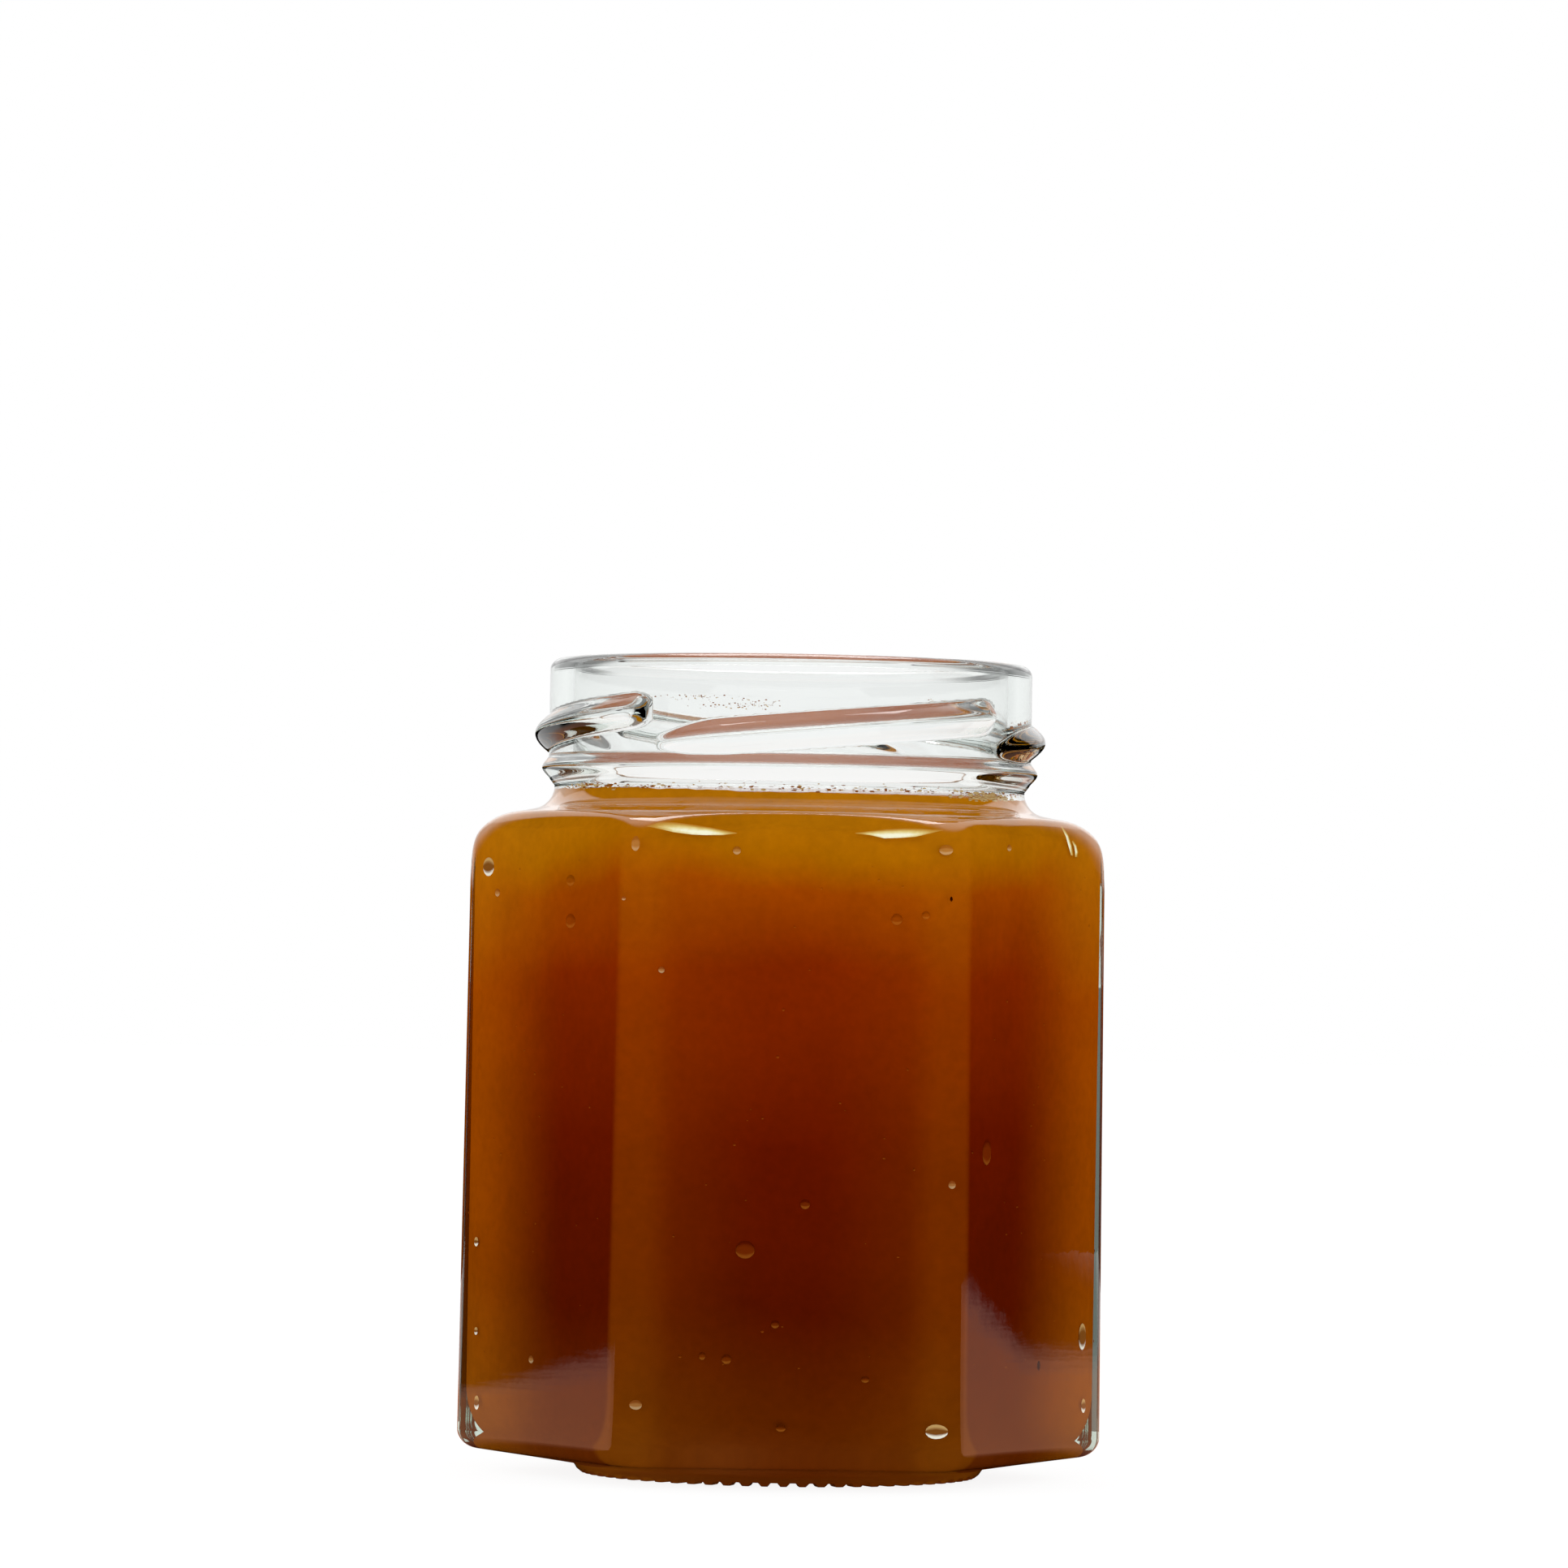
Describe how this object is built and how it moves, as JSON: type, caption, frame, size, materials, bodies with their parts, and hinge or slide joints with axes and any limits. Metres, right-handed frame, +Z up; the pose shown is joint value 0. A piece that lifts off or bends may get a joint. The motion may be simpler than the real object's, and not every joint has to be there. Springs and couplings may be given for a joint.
{
  "type": "hexagonal glass jar of amber preserve",
  "caption": "Hexagonal clear glass jar with a twist-off thread, open and filled to the neck with a smooth amber preserve.",
  "frame": {"origin": "middle of the foot, on the surface that the jar stands on", "axes": "+Z up along the neck's axis; the front flat face looks along -Y, and two corners of the hexagon lie along X"},
  "size_m": [0.0724, 0.0636, 0.0914],
  "materials": {
    "clear_glass": "clear, polished, faint green at the edges",
    "amber_preserve": "translucent amber, smooth and wet"
  },
  "bodies": {
    "root": {"glass_jar": "clear_glass", "amber_preserve": "amber_preserve"}
  },
  "joints": []
}
